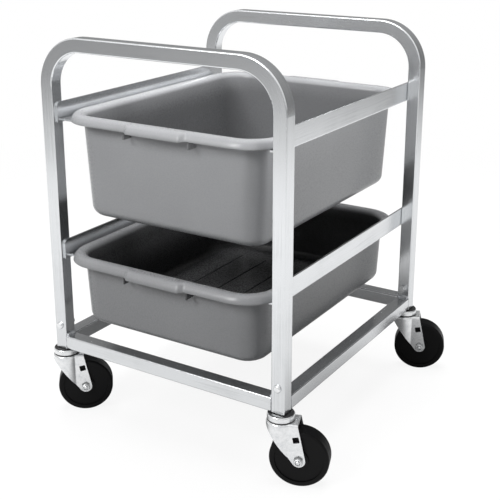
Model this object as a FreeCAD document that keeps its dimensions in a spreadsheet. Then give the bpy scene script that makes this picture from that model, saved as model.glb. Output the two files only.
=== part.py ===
# Lug rack: two bent tube hoops on swivel casters, with angle slides that carry two moulded lugs.
# Millimetres, +Z up, +X to the right, +Y to the back; the origin is on the floor under the frame's centre.
import FreeCAD, Part
import math
import os

import Sketcher

Vector = FreeCAD.Vector
Rotation = FreeCAD.Rotation
near = 0.01  # millimetres: how close an edge must lie to the place where it is looked for

# Driving sizes: millimetres, or degrees for the angles
sizes = {
    # frame
    "rackWidth": 495.3,
    "rackDepth": 533.4,
    "hoopHeight": 584.2,
    "tubeSize": 25.4,
    "tubeWall": 1.6,
    "tubeCorner": 2.5,
    "bendRadius": 76.2,
    "weldLeg": 4.0,
    # slides
    "lowerSlide": 177.8,
    "slidePitch": 254.0,
    "slideFlange": 36.0,
    "slideLedge": 20.0,
    "slideThick": 3.2,
    "slideBend": 3.0,
    "slideSetback": 8.0,
    "slideEndRound": 8.0,
    # cross bolts
    "boltHeight": 45.0,
    "boltRadius": 4.0,
    "boltHeadRadius": 7.0,
    "boltHeadHeight": 4.2,
    "boltHeadRound": 3.4,
    "boltTail": 2.5,
    "nutAcross": 13.0,
    "nutHeight": 6.4,
    "boltGap": 0.15,
    # lugs
    "lugLength": 556.0,
    "lugSideGap": 3.0,
    "lugSeatGap": 0.2,
    "lugWall": 4.0,
    "lugDraft": 3.0,
    "rimOverhang": 22.0,
    "rimDrop": 15.5,
    "rimCorner": 70.0,
    "rimRound": 11.0,
    "rimInnerRound": 12.0,
    "floorRound": 20.0,
    "upperLugDepth": 187.5,
    "lowerLugDepth": 133.5,
    "upperLugForward": -6.0,
    "lowerLugForward": 7.0,
    "gripLength": 116.0,
    "gripSlope": 16.0,
    "gripBulge": 7.0,
    "gripDrop": 4.0,
    "gripTop": 3.0,
    "gripRound": 6.0,
    "gussetPitch": 132.0,
    "gussetThick": 3.0,
    "gussetDrop": 13.0,
    "gussetTop": 6.0,
    "ridgeCount": 5,
    "ridgePitch": 58.0,
    "ridgeWidth": 4.0,
    "ridgeHeight": 1.5,
    "ridgeMargin": 40.0,
    # casters
    "casterHeight": 130.0,
    "casterTrail": 33.0,
    "frontLeftHeading": 40.0,
    "frontRightHeading": 20.0,
    "rearLeftHeading": 30.0,
    "rearRightHeading": 22.0,
    "wheelRadius": 50.8,
    "treadWidth": 31.8,
    "treadRound": 4.0,
    "webRecess": 2.0,
    "rimBand": 9.0,
    "hubRadius": 16.0,
    "hubSideGap": 0.6,
    "forkWidth": 40.0,
    "forkSheet": 2.8,
    "shellRadius": 25.0,
    "forkFold": 3.0,
    "forkFrontLean": 37.0,
    "forkBackLean": 12.0,
    "forkEndRadius": 11.5,
    "crownRound": 4.0,
    "slotSize": 11.0,
    "slotHeight": 38.0,
    "slotBack": 4.5,
    "slotTilt": 12.0,
    "slotRound": 1.5,
    "cupRadius": 23.5,
    "cupHeight": 14.0,
    "cupRound": 4.0,
    "cupLipGap": 0.8,
    "cupNeck": 1.5,
    "ballCount": 10,
    "ballRadius": 2.5,
    "ballCircle": 17.0,
    "ballGap": 0.1,
    "kingPinRadius": 6.0,
    "retainerRadius": 13.0,
    "retainerHeight": 4.5,
    "retainerGap": 0.3,
    "stemLength": 60.0,
    "stemGap": 0.1,
    "stemChamfer": 2.0,
    "axleRadius": 4.75,
    "axleAcross": 14.3,
    "axleHeadHeight": 6.0,
    "axleNutHeight": 6.5,
    "axleTail": 3.0,
    "sleeveRadius": 6.5,
    "runGap": 0.05,
}

doc = FreeCAD.newDocument("LugRack")
sheet = doc.addObject("Spreadsheet::Sheet", "Sizes")
for row, (alias, number) in enumerate(sizes.items(), start=1):
    sheet.set(f"A{row}", alias)
    sheet.set(f"B{row}", str(number))
    sheet.setAlias(f"B{row}", alias)
doc.recompute()


class Size:
    # A length that knows its number and the expression that gives it from the sheet

    def __init__(self, number, text):
        self.number = number
        self.text = text

    def __add__(self, other):
        other = asSize(other)
        return Size(self.number + other.number, f"({self.text} + {other.text})")

    def __sub__(self, other):
        other = asSize(other)
        return Size(self.number - other.number, f"({self.text} - {other.text})")

    def __mul__(self, other):
        other = asSize(other)
        return Size(self.number * other.number, f"({self.text} * {other.text})")

    def __truediv__(self, other):
        other = asSize(other)
        return Size(self.number / other.number, f"({self.text} / {other.text})")

    def __radd__(self, other):
        return asSize(other) + self

    def __rsub__(self, other):
        return asSize(other) - self

    def __rmul__(self, other):
        return asSize(other) * self

    def __neg__(self):
        return Size(-self.number, f"(-{self.text})")


def asSize(value):
    return value if isinstance(value, Size) else Size(value, f"({value})")


def cell(alias):
    return Size(float(sheet.get(alias)), f"Sizes.{alias}")


def sine(angle):
    return Size(math.sin(math.radians(angle.number)), f"sin({angle.text} * 1 deg)")


def cosine(angle):
    return Size(math.cos(math.radians(angle.number)), f"cos({angle.text} * 1 deg)")


def tangent(angle):
    return sine(angle) / cosine(angle)


# Bodies, sketches and features

def newBody(label):
    body = doc.addObject("PartDesign::Body", label)
    body.Label = label
    return body


def place(item, x=0, y=0, z=0, turn=None, tilt=None):
    # turn is a heading about +Z that follows the sheet, tilt a fixed rotation
    if turn is not None:
        item.Placement = FreeCAD.Placement(Vector(0, 0, 0), Rotation(Vector(0, 0, 1), turn.number))
        item.setExpression("Placement.Rotation.Angle", f"{turn.text} * 1 deg")
    if tilt is not None:
        item.Placement = FreeCAD.Placement(Vector(0, 0, 0), tilt)
    for axis, value in zip("xyz", (x, y, z)):
        item.setExpression(f"Placement.Base.{axis}", asSize(value).text)


def newSketch(body, plane, offset=None):
    sketch = body.newObject("Sketcher::SketchObject", f"{body.Name}Sketch")
    support = [item for item in body.Origin.OriginFeatures if item.Role == plane][0]
    sketch.AttachmentSupport = [(support, "")]
    sketch.MapMode = "FlatFace"
    if offset is not None:
        sketch.setExpression("AttachmentOffset.Base.z", asSize(offset).text)
    return sketch


def bind(sketch, constraint, size):
    index = sketch.addConstraint(constraint)
    sketch.setExpression(f"Constraints[{index}]", size.text)


def pin(sketch, geometry, position, x, y):
    # holds a point of the sketch at a place given by two sizes
    for kind, size in (("DistanceX", asSize(x)), ("DistanceY", asSize(y))):
        bind(sketch, Sketcher.Constraint(kind, -1, 1, geometry, position, size.number), size)


def corner(x, y, radius=None):
    return asSize(x), asSize(y), None if radius is None else asSize(radius)


def outline(sketch, corners, closed=True):
    # A chain of straight lines through the corners; a corner with a radius is rounded by a tangent arc
    points = [Vector(x.number, y.number, 0) for x, y, radius in corners]
    count = len(points)
    starts, ends = {}, {}
    for i, (x, y, radius) in enumerate(corners):
        starts[i] = ends[i] = points[i]
        if radius is None:
            continue
        back = (points[i - 1] - points[i]).normalize()
        ahead = (points[(i + 1) % count] - points[i]).normalize()
        reach = radius.number / math.tan(back.getAngle(ahead) / 2)
        ends[i] = points[i] + back * reach
        starts[i] = points[i] + ahead * reach
    lineCount = count if closed else count - 1
    lines = [sketch.addGeometry(Part.LineSegment(starts[i], ends[(i + 1) % count])) for i in range(lineCount)]
    for i, (x, y, radius) in enumerate(corners):
        before = lines[i - 1] if closed or i > 0 else None
        after = lines[i] if i < lineCount else None
        if radius is None:
            if before is not None and after is not None:
                sketch.addConstraint(Sketcher.Constraint("Coincident", before, 2, after, 1))
            if after is not None:
                pin(sketch, after, 1, x, y)
            else:
                pin(sketch, before, 2, x, y)
            continue
        back = (points[i - 1] - points[i]).normalize()
        ahead = (points[(i + 1) % count] - points[i]).normalize()
        middle = (back + ahead).normalize()
        half = back.getAngle(ahead) / 2
        centre = points[i] + middle * (radius.number / math.sin(half))
        crest = centre - middle * radius.number
        arc = sketch.addGeometry(Part.Arc(ends[i], crest, starts[i]))
        turnsLeft = (back * -1).cross(ahead).z > 0
        first, last = (1, 2) if turnsLeft else (2, 1)
        sketch.addConstraint(Sketcher.Constraint("Tangent", before, 2, arc, first))
        sketch.addConstraint(Sketcher.Constraint("Tangent", arc, last, after, 1))
        bind(sketch, Sketcher.Constraint("Radius", arc, radius.number), radius)
        vertex = sketch.addGeometry(Part.Point(points[i]), True)
        pin(sketch, vertex, 1, x, y)
        sketch.addConstraint(Sketcher.Constraint("PointOnObject", vertex, 1, before))
        sketch.addConstraint(Sketcher.Constraint("PointOnObject", vertex, 1, after))


def rectangle(sketch, left, right, bottom, top, radius=None):
    outline(sketch, [corner(left, bottom, radius), corner(right, bottom, radius),
                     corner(right, top, radius), corner(left, top, radius)])


def circle(sketch, x, y, radius):
    x, y, radius = asSize(x), asSize(y), asSize(radius)
    ring = sketch.addGeometry(Part.Circle(Vector(x.number, y.number, 0), Vector(0, 0, 1), radius.number))
    pin(sketch, ring, 3, x, y)
    bind(sketch, Sketcher.Constraint("Radius", ring, radius.number), radius)


def hexagon(sketch, acrossFlats):
    reach = acrossFlats / math.sqrt(3)
    outline(sketch, [corner(reach * math.cos(math.radians(60 * i)), reach * math.sin(math.radians(60 * i)))
                     for i in range(6)])


def pad(body, sketch, length, symmetric=False, reversed=False):
    feature = body.newObject("PartDesign::Pad", f"{body.Name}Pad")
    feature.Profile = sketch
    feature.SideType = "Symmetric" if symmetric else "One side"
    feature.Reversed = reversed
    feature.setExpression("Length", asSize(length).text)
    return feature


def pocket(body, sketch, length=None, reversed=False):
    # with no length, the cut goes right through, both ways from its sketch
    doc.recompute()
    before = body.Shape.Volume
    feature = body.newObject("PartDesign::Pocket", f"{body.Name}Pocket")
    feature.Profile = sketch
    feature.Reversed = reversed
    if length is None:
        feature.Type = "ThroughAll"
        feature.SideType = "Symmetric"
    else:
        feature.setExpression("Length", asSize(length).text)
    doc.recompute()
    if body.Shape.Volume > before - near:
        raise RuntimeError(f"{body.Label}: a pocket removes nothing")
    return feature


def revolve(body, sketch, axis="V_Axis"):
    feature = body.newObject("PartDesign::Revolution", f"{body.Name}Revolution")
    feature.Profile = sketch
    feature.ReferenceAxis = (sketch, [axis])
    feature.Angle = 360
    return feature


def pipe(body, profile, path):
    feature = body.newObject("PartDesign::AdditivePipe", f"{body.Name}Pipe")
    feature.Profile = profile
    feature.Spine = path
    return feature


def edgesWhere(body, test):
    doc.recompute()
    return [f"Edge{i}" for i, edge in enumerate(body.Tip.Shape.Edges, start=1) if test(edge)]


def fillet(body, edges, radius):
    base = body.Tip
    feature = body.newObject("PartDesign::Fillet", f"{body.Name}Fillet")
    feature.Base = (base, edges)
    feature.setExpression("Radius", asSize(radius).text)
    return feature


def group(label, pieces):
    bundle = doc.addObject("Part::Compound", label)
    bundle.Label = label
    bundle.Links = pieces
    return bundle


subparts = []

# Frame: hoops and rails of one square tube

tube = cell("tubeSize")
wall = cell("tubeWall")
legBottom = cell("casterHeight")
legX = (cell("rackWidth") - tube) / 2
legY = (cell("rackDepth") - tube) / 2
boltHole = cell("boltRadius") + cell("boltGap")


def tubeSection(sketch, x=0, y=0):
    half = tube / 2
    bore = half - wall
    rectangle(sketch, x - half, x + half, y - half, y + half, cell("tubeCorner"))
    rectangle(sketch, x - bore, x + bore, y - bore, y + bore, cell("tubeCorner") - wall)


def makeHoop(label, side):
    body = newBody(label)
    path = newSketch(body, "XZ_Plane")
    top = cell("hoopHeight") - tube / 2
    outline(path, [corner(-legX, 0), corner(-legX, top, cell("bendRadius")),
                   corner(legX, top, cell("bendRadius")), corner(legX, 0)], closed=False)
    section = newSketch(body, "XY_Plane")
    tubeSection(section, -legX)
    pipe(body, section, path)
    holes = newSketch(body, "XZ_Plane")
    circle(holes, -legX, cell("boltHeight"), boltHole)
    circle(holes, legX, cell("boltHeight"), boltHole)
    pocket(body, holes)
    place(body, y=side * legY, z=legBottom)
    subparts.append(body)


def makeRail(label, along, side):
    # a rail along X stands between the legs of one hoop, a rail along Y between the two hoops
    body = newBody(label)
    section = newSketch(body, "YZ_Plane" if along == "x" else "XZ_Plane")
    tubeSection(section)
    if along == "x":
        pad(body, section, cell("rackWidth") - 2 * tube, symmetric=True)
        place(body, y=side * legY, z=legBottom + tube / 2)
    else:
        pad(body, section, cell("rackDepth") - 2 * tube, symmetric=True)
        place(body, x=side * legX, z=legBottom + tube / 2)
    subparts.append(body)


makeHoop("front_hoop", -1)
makeHoop("rear_hoop", 1)
makeRail("front_rail", "x", -1)
makeRail("rear_rail", "x", 1)
makeRail("left_rail", "y", -1)
makeRail("right_rail", "y", 1)


def makeWeld(label, along, sideX, sideY):
    # a fillet bead in the corner between the top of a rail and the leg that it meets
    body = newBody(label)
    leg = cell("weldLeg")
    section = newSketch(body, "XZ_Plane" if along == "x" else "YZ_Plane")
    inward = -sideX if along == "x" else -sideY
    outline(section, [corner(0, 0), corner(inward * leg, 0), corner(0, leg)])
    pad(body, section, tube - 2 * cell("tubeCorner"), symmetric=True)
    railTop = legBottom + tube
    if along == "x":
        place(body, x=sideX * (legX - tube / 2), y=sideY * legY, z=railTop)
    else:
        place(body, x=sideX * legX, y=sideY * (legY - tube / 2), z=railTop)
    return body


cornerSides = {"front_left": (-1, -1), "front_right": (1, -1), "rear_left": (-1, 1), "rear_right": (1, 1)}
subparts.append(group("weld_beads", [makeWeld(f"{name}_{along}_weld", along, *sides)
                                     for name, sides in cornerSides.items() for along in "xy"]))

# Slides: angles with the upright flange against the legs' inner faces

flangeFace = legX - tube / 2
slideLength = cell("rackDepth") - 2 * cell("slideSetback")
thick = cell("slideThick")


def makeSlide(label, side, height):
    body = newBody(label)
    section = newSketch(body, "XZ_Plane")
    flange, ledge, bend = cell("slideFlange"), cell("slideLedge"), cell("slideBend")
    outline(section, [corner(0, 0, bend), corner(-side * ledge, 0), corner(-side * ledge, thick),
                      corner(-side * thick, thick, bend), corner(-side * thick, flange), corner(0, flange)])
    pad(body, section, slideLength, symmetric=True)
    endY = slideLength.number / 2
    ends = edgesWhere(body, lambda edge: abs(edge.CenterOfMass.z - flange.number) < near
                      and abs(abs(edge.CenterOfMass.y) - endY) < near)
    fillet(body, ends, cell("slideEndRound"))

    # the ledge stops short of the legs, and only the flange runs on between them
    cut = newSketch(body, "XY_Plane")
    left, right = sorted((-side * thick, -side * (ledge + thick)), key=lambda edge: edge.number)
    ledgeEnd, cutEnd = legY - tube / 2, slideLength / 2 + thick
    rectangle(cut, left, right, ledgeEnd, cutEnd)
    rectangle(cut, left, right, -cutEnd, -ledgeEnd)
    pocket(body, cut, thick + bend, reversed=True)
    place(body, x=side * flangeFace, z=legBottom + height)
    subparts.append(body)


lowerSlide = cell("lowerSlide")
upperSlide = cell("lowerSlide") + cell("slidePitch")
makeSlide("upper_left_slide", -1, upperSlide)
makeSlide("upper_right_slide", 1, upperSlide)
makeSlide("lower_left_slide", -1, lowerSlide)
makeSlide("lower_right_slide", 1, lowerSlide)

# Cross bolts through the feet of the legs and the caster stems

bolt = cell("boltRadius")


def makeStemBolt(label, sideX, sideY):
    # the domed head bears on the leg's outer face, and the shank points into the rack
    body = newBody(label)
    section = newSketch(body, "XZ_Plane")
    head, dome = cell("boltHeadRadius"), cell("boltHeadHeight")
    shank = tube + cell("nutHeight") + cell("boltTail")
    outline(section, [corner(0, dome), corner(0, -shank), corner(bolt, -shank), corner(bolt, 0),
                      corner(head, 0), corner(head, dome, cell("boltHeadRound"))])
    revolve(body, section)
    place(body, x=sideX * legX, y=sideY * (legY + tube / 2), z=legBottom + cell("boltHeight"),
          tilt=Rotation(Vector(1, 0, 0), -90 * sideY))
    return body


def makeStemNut(label, sideX, sideY):
    body = newBody(label)
    section = newSketch(body, "XY_Plane")
    hexagon(section, cell("nutAcross"))
    circle(section, 0, 0, boltHole)
    pad(body, section, cell("nutHeight"))
    place(body, x=sideX * legX, y=sideY * (legY - tube / 2), z=legBottom + cell("boltHeight"),
          tilt=Rotation(Vector(1, 0, 0), 90 * sideY))
    return body


subparts.append(group("stem_bolts", [makeStemBolt(f"{name}_stem_bolt", *sides)
                                     for name, sides in cornerSides.items()]))
subparts.append(group("stem_nuts", [makeStemNut(f"{name}_stem_nut", *sides)
                                    for name, sides in cornerSides.items()]))

# Lugs: one wall section, from the floor up and over the rolled rim, swept around the rounded outline

lugHalfX = flangeFace - thick - cell("lugSideGap")
lugHalfY = cell("lugLength") / 2
lugWall = cell("lugWall")
rimDrop = cell("rimDrop")
rimRound = cell("rimRound")
overhang = cell("rimOverhang")
lean = tangent(cell("lugDraft"))
floorRound = cell("floorRound")


def makeLug(label, depth, ledge, forward):
    # the body's own origin is at the middle of the rim's top
    body = newBody(label)
    path = newSketch(body, "XY_Plane")
    corners = [corner(lugHalfX, 0), corner(lugHalfX, lugHalfY, cell("rimCorner")),
               corner(-lugHalfX, lugHalfY, cell("rimCorner")),
               corner(-lugHalfX, -lugHalfY, cell("rimCorner")),
               corner(lugHalfX, -lugHalfY, cell("rimCorner"))]
    outline(path, corners)

    # the rim is a full round: both its shoulders curve, and the wall keeps its thickness through them
    innerRound = cell("rimInnerRound")
    outerTop = lugHalfX - overhang
    innerTop = outerTop - lugWall
    outerFoot = outerTop - depth * lean
    innerFoot = innerTop - (depth - lugWall) * lean
    floorEdge = outerFoot - floorRound - lugWall
    section = newSketch(body, "XZ_Plane")
    outline(section, [corner(lugHalfX, -rimDrop), corner(lugHalfX, 0, rimRound),
                      corner(innerTop, 0, innerRound),
                      corner(innerFoot, lugWall - depth, floorRound - lugWall),
                      corner(floorEdge, lugWall - depth),
                      corner(floorEdge, -depth), corner(outerFoot, -depth, floorRound),
                      corner(outerTop - lugWall * lean, -lugWall, innerRound - lugWall),
                      corner(lugHalfX - lugWall, -lugWall, rimRound - lugWall),
                      corner(lugHalfX - lugWall, -rimDrop)])
    pipe(body, section, path)

    # the floor overlaps the flat inner edge of the swept section
    inset = lugHalfX - floorEdge - lugWall / 2
    floor = newSketch(body, "XY_Plane", -depth)
    rectangle(floor, inset - lugHalfX, lugHalfX - inset, inset - lugHalfY, lugHalfY - inset,
              cell("rimCorner") - inset)
    pad(body, floor, lugWall)

    ridges = newSketch(body, "XY_Plane", lugWall - depth)
    ridgeEnd = lugHalfY - inset - cell("ridgeMargin")
    halfRidge = cell("ridgeWidth") / 2
    ridgeCount = sizes["ridgeCount"]
    for i in range(ridgeCount):
        middle = (i - (ridgeCount - 1) / 2) * cell("ridgePitch")
        rectangle(ridges, middle - halfRidge, middle + halfRidge, -ridgeEnd, ridgeEnd)
    pad(body, ridges, cell("ridgeHeight"))

    # hand grips: the rim bulges and hangs lower at the middle of both short ends
    grips = newSketch(body, "XY_Plane", -rimDrop - cell("gripDrop"))
    halfGrip = cell("gripLength") / 2
    crest = halfGrip - cell("gripSlope")
    back = lugHalfY - lugWall
    front = lugHalfY + cell("gripBulge")
    for end in (-1, 1):
        outline(grips, [corner(-halfGrip, end * back), corner(-halfGrip, end * lugHalfY),
                        corner(-crest, end * front), corner(crest, end * front),
                        corner(halfGrip, end * lugHalfY), corner(halfGrip, end * back)])
    pad(body, grips, rimDrop + cell("gripDrop") - cell("gripTop"))
    frontY = front.number
    crestX = crest.number
    long = edgesWhere(body, lambda edge: all(abs(abs(v.Y) - frontY) < near for v in edge.Vertexes)
                      and edge.Length > crestX)
    fillet(body, long, cell("gripRound"))

    # gusset plates under the rim at the ends of the grips
    gussets = newSketch(body, "XY_Plane", -rimDrop - cell("gussetDrop"))
    halfPlate = cell("gussetThick") / 2
    plateBack = lugHalfY - overhang - lugWall / 2
    for sideX in (-1, 1):
        for end in (-1, 1):
            middle = sideX * cell("gussetPitch") / 2
            inner, outer = end * plateBack, end * (lugHalfY - lugWall / 2)
            rectangle(gussets, middle - halfPlate, middle + halfPlate, inner, outer)
    pad(body, gussets, rimDrop + cell("gussetDrop") - cell("gussetTop"))

    place(body, y=-forward, z=legBottom + ledge + thick + cell("lugSeatGap") + rimDrop)
    subparts.append(body)


makeLug("upper_lug", cell("upperLugDepth"), upperSlide, cell("upperLugForward"))
makeLug("lower_lug", cell("lowerLugDepth"), lowerSlide, cell("lowerLugForward"))

# Casters: every piece is drawn with the swivel axis on Z and the wheel trailing along +X

wheelRadius = cell("wheelRadius")
crownTop = legBottom - cell("cupHeight")
sheetThick = cell("forkSheet")
halfFork = cell("forkWidth") / 2
forkInside = halfFork - sheetThick
kingPin = cell("kingPinRadius")
ball = cell("ballRadius")
ballHeight = crownTop + cell("ballGap") + ball
axle = cell("axleRadius")
trail = cell("casterTrail")
headings = {(-1, -1): cell("frontLeftHeading"), (1, -1): cell("frontRightHeading"),
            (-1, 1): cell("rearLeftHeading"), (1, 1): cell("rearRightHeading")}


def placeCaster(item, sideX, sideY, turned=True):
    place(item, x=sideX * legX, y=sideY * legY, turn=headings[sideX, sideY] if turned else None)


def placeWheelPiece(item, sideX, sideY):
    # pieces on the axle stand at the wheel's centre
    heading = headings[sideX, sideY]
    place(item, x=sideX * legX + trail * cosine(heading), y=sideY * legY + trail * sine(heading),
          z=wheelRadius, turn=heading)


def makeStem(label, sideX, sideY):
    # stem, race cup and king pin in one turned piece
    body = newBody(label)
    stem = tube / 2 - wall - cell("stemGap")
    cup = cell("cupRadius")
    lip = crownTop + cell("cupLipGap")
    shoulder = legBottom - cell("cupNeck")
    stemTop = legBottom + cell("stemLength")
    pinFoot = crownTop - sheetThick - cell("retainerGap") - cell("retainerHeight")
    race = cell("ballCircle")
    raceHalf = ball + cell("ballGap")
    raceTop = ballHeight + raceHalf
    section = newSketch(body, "XZ_Plane")
    outline(section, [corner(0, stemTop), corner(0, pinFoot), corner(kingPin, pinFoot),
                      corner(kingPin, lip), corner(race - raceHalf, lip), corner(race - raceHalf, raceTop),
                      corner(race + raceHalf, raceTop), corner(race + raceHalf, lip),
                      corner(cup, lip), corner(cup, shoulder, cell("cupRound")),
                      corner(tube / 2, shoulder), corner(tube / 2, legBottom), corner(stem, legBottom),
                      corner(stem, stemTop - cell("stemChamfer")),
                      corner(stem - cell("stemChamfer"), stemTop)])
    revolve(body, section)
    hole = newSketch(body, "XZ_Plane")
    circle(hole, 0, legBottom + cell("boltHeight"), boltHole)
    pocket(body, hole)
    placeCaster(body, sideX, sideY, turned=False)
    subparts.append(body)


def makeBalls(label, sideX, sideY):
    ballCount = sizes["ballCount"]
    balls = []
    for i in range(ballCount):
        angle = Size(360 * i / ballCount, f"({360 * i / ballCount})")
        sphere = doc.addObject("Part::Sphere", f"{label}_{i + 1}")
        sphere.setExpression("Radius", ball.text)
        place(sphere, x=sideX * legX + cell("ballCircle") * cosine(angle),
              y=sideY * legY + cell("ballCircle") * sine(angle), z=ballHeight)
        balls.append(sphere)
    subparts.append(group(label, balls))


def makeRetainer(label, sideX, sideY):
    body = newBody(label)
    top = crownTop - sheetThick - cell("retainerGap")
    section = newSketch(body, "XY_Plane", top - cell("retainerHeight"))
    circle(section, 0, 0, cell("retainerRadius"))
    circle(section, 0, 0, kingPin + cell("runGap"))
    pad(body, section, cell("retainerHeight"))
    placeCaster(body, sideX, sideY, turned=False)
    subparts.append(body)


def makeFork(label, sideX, sideY):
    # pressed sheet: a round shell about the swivel axis that folds into two flat legs
    body = newBody(label)
    shell = cell("shellRadius")
    end = cell("forkEndRadius")
    front, back = cell("forkFrontLean"), cell("forkBackLean")
    foot = wheelRadius - end
    tail = trail + end
    height = crownTop - foot
    disc = newSketch(body, "XY_Plane", foot)
    circle(disc, 0, 0, shell)
    pad(body, disc, height)
    legs = newSketch(body, "XY_Plane", foot)
    rectangle(legs, 0, tail, -halfFork, halfFork)
    pad(body, legs, height)
    folds = edgesWhere(body, lambda edge: edge.Length > height.number - near
                       and shell.number / 2 < edge.CenterOfMass.x < tail.number - near)
    fillet(body, folds, cell("forkFold"))
    rim = edgesWhere(body, lambda edge: abs(edge.CenterOfMass.z - crownTop.number) < near
                     and edge.CenterOfMass.x < tail.number - near)
    fillet(body, rim, cell("crownRound"))

    # hollow from below, leaving the sheet's thickness
    bowl = newSketch(body, "XY_Plane", foot)
    circle(bowl, 0, 0, shell - sheetThick)
    pocket(body, bowl, height - sheetThick, reversed=True)
    gap = newSketch(body, "XY_Plane", foot)
    rectangle(gap, 0, tail + end, -forkInside, forkInside)
    pocket(body, gap, height - sheetThick, reversed=True)

    # side view: everything outside the two edges that meet in the round end about the axle is trimmed away
    side = newSketch(body, "XZ_Plane")
    rectangle(side, -shell - 2 * end, tail + 2 * end, foot - end, crownTop + 2 * end)
    noseX, overZ = -shell - end, crownTop + end
    noseZ = wheelRadius - end * sine(front) + (trail - end * cosine(front) - noseX) / tangent(front)
    tailX = trail + end * cosine(back) - (overZ - wheelRadius - end * sine(back)) * tangent(back)
    middle, half = (front + back) / 2, (front - back) / 2
    tipX = trail + end * sine(middle) / sine(half)
    tipZ = wheelRadius - end * cosine(middle) / sine(half)
    outline(side, [corner(noseX, overZ), corner(noseX, noseZ), corner(tipX, tipZ, end), corner(tailX, overZ)])
    pocket(body, side)

    holes = newSketch(body, "XZ_Plane")
    circle(holes, trail, wheelRadius, axle + cell("boltGap"))
    slotX = trail - cell("slotBack")
    slotZ = wheelRadius + cell("slotHeight")
    slotHalf = cell("slotSize") / 2
    tiltSin, tiltCos = sine(cell("slotTilt")), cosine(cell("slotTilt"))
    outline(holes, [corner(slotX + slotHalf * (across * tiltCos - up * tiltSin),
                           slotZ + slotHalf * (up * tiltCos + across * tiltSin), cell("slotRound"))
                    for across, up in ((-1, -1), (1, -1), (1, 1), (-1, 1))])
    pocket(body, holes)
    pinHole = newSketch(body, "XY_Plane", crownTop)
    circle(pinHole, 0, 0, kingPin + cell("runGap"))
    pocket(body, pinHole, sheetThick + end)
    placeCaster(body, sideX, sideY)
    subparts.append(body)


def makeSleeve(label, sideX, sideY):
    body = newBody(label)
    section = newSketch(body, "XZ_Plane")
    circle(section, 0, 0, cell("sleeveRadius"))
    circle(section, 0, 0, axle + cell("runGap"))
    pad(body, section, 2 * forkInside, symmetric=True)
    placeWheelPiece(body, sideX, sideY)
    subparts.append(body)


def makeWheel(label, sideX, sideY):
    body = newBody(label)
    section = newSketch(body, "YZ_Plane")
    bore = cell("sleeveRadius") + cell("runGap")
    hub = forkInside - cell("hubSideGap")
    tread = cell("treadWidth") / 2
    web = tread - cell("webRecess")
    band = wheelRadius - cell("rimBand")
    hubRadius = cell("hubRadius")
    outline(section, [corner(-hub, bore), corner(hub, bore), corner(hub, hubRadius), corner(web, hubRadius),
                      corner(web, band), corner(tread, band),
                      corner(tread, wheelRadius, cell("treadRound")),
                      corner(-tread, wheelRadius, cell("treadRound")),
                      corner(-tread, band), corner(-web, band),
                      corner(-web, hubRadius), corner(-hub, hubRadius)])
    revolve(body, section, "H_Axis")
    placeWheelPiece(body, sideX, sideY)
    subparts.append(body)


def makeAxleBolt(label, sideX, sideY):
    # the head is on the +Y side of the fork
    body = newBody(label)
    head = newSketch(body, "XZ_Plane", -halfFork)
    hexagon(head, cell("axleAcross"))
    pad(body, head, cell("axleHeadHeight"), reversed=True)
    shank = newSketch(body, "XZ_Plane", -halfFork)
    circle(shank, 0, 0, axle)
    pad(body, shank, 2 * halfFork + cell("axleNutHeight") + cell("axleTail"))
    placeWheelPiece(body, sideX, sideY)
    subparts.append(body)


def makeAxleNut(label, sideX, sideY):
    body = newBody(label)
    section = newSketch(body, "XZ_Plane", halfFork)
    hexagon(section, cell("axleAcross"))
    circle(section, 0, 0, axle + cell("runGap"))
    pad(body, section, cell("axleNutHeight"))
    placeWheelPiece(body, sideX, sideY)
    subparts.append(body)


for name, sides in cornerSides.items():
    makeStem(f"{name}_stem", *sides)
    makeBalls(f"{name}_bearing_balls", *sides)
    makeRetainer(f"{name}_retainer", *sides)
    makeFork(f"{name}_fork", *sides)
    makeSleeve(f"{name}_axle_sleeve", *sides)
    makeWheel(f"{name}_wheel", *sides)
    makeAxleBolt(f"{name}_axle_bolt", *sides)
    makeAxleNut(f"{name}_axle_nut", *sides)

# Check, then write one file per sub-part

doc.recompute()
for item in doc.Objects:
    if "Invalid" in item.State or "Error" in item.State:
        raise RuntimeError(f"{item.Label} failed: {item.State}")
for item in subparts:
    if item.Shape.isNull() or not item.Shape.isValid():
        raise RuntimeError(f"{item.Label} has no valid shape")

os.makedirs("parts", exist_ok=True)
for item in subparts:
    item.Shape.exportStep(f"parts/{item.Label}.step")
    print(item.Label, len(item.Shape.Solids), round(item.Shape.Volume))
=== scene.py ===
import math

import bmesh
import bpy
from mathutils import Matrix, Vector


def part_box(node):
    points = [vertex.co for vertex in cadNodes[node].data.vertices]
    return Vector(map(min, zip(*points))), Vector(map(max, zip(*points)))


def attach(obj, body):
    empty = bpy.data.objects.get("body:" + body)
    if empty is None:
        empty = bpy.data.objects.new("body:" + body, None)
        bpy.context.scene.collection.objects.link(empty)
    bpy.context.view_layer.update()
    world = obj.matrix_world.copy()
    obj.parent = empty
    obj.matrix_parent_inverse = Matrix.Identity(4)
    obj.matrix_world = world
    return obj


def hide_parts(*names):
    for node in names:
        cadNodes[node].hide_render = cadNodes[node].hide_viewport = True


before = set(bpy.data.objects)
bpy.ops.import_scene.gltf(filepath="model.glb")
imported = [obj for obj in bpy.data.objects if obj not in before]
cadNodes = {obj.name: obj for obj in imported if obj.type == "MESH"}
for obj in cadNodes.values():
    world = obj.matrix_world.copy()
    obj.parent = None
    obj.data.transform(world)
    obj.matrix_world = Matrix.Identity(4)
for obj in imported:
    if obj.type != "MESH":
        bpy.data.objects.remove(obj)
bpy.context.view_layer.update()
corners = ("front_left", "front_right", "rear_left", "rear_right")
print("frame loaded:", len(cadNodes), "nodes")


# Small helpers

def linearColour(hexText):
    # sRGB hex to linear red, green, blue and alpha
    channels = [int(hexText[i:i + 2], 16) / 255 for i in (0, 2, 4)]
    return [c / 12.92 if c <= 0.04045 else ((c + 0.055) / 1.055) ** 2.4 for c in channels] + [1.0]


def perMetre(millimetres):
    # a pattern's scale for features of that size
    return 1000 / millimetres


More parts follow.
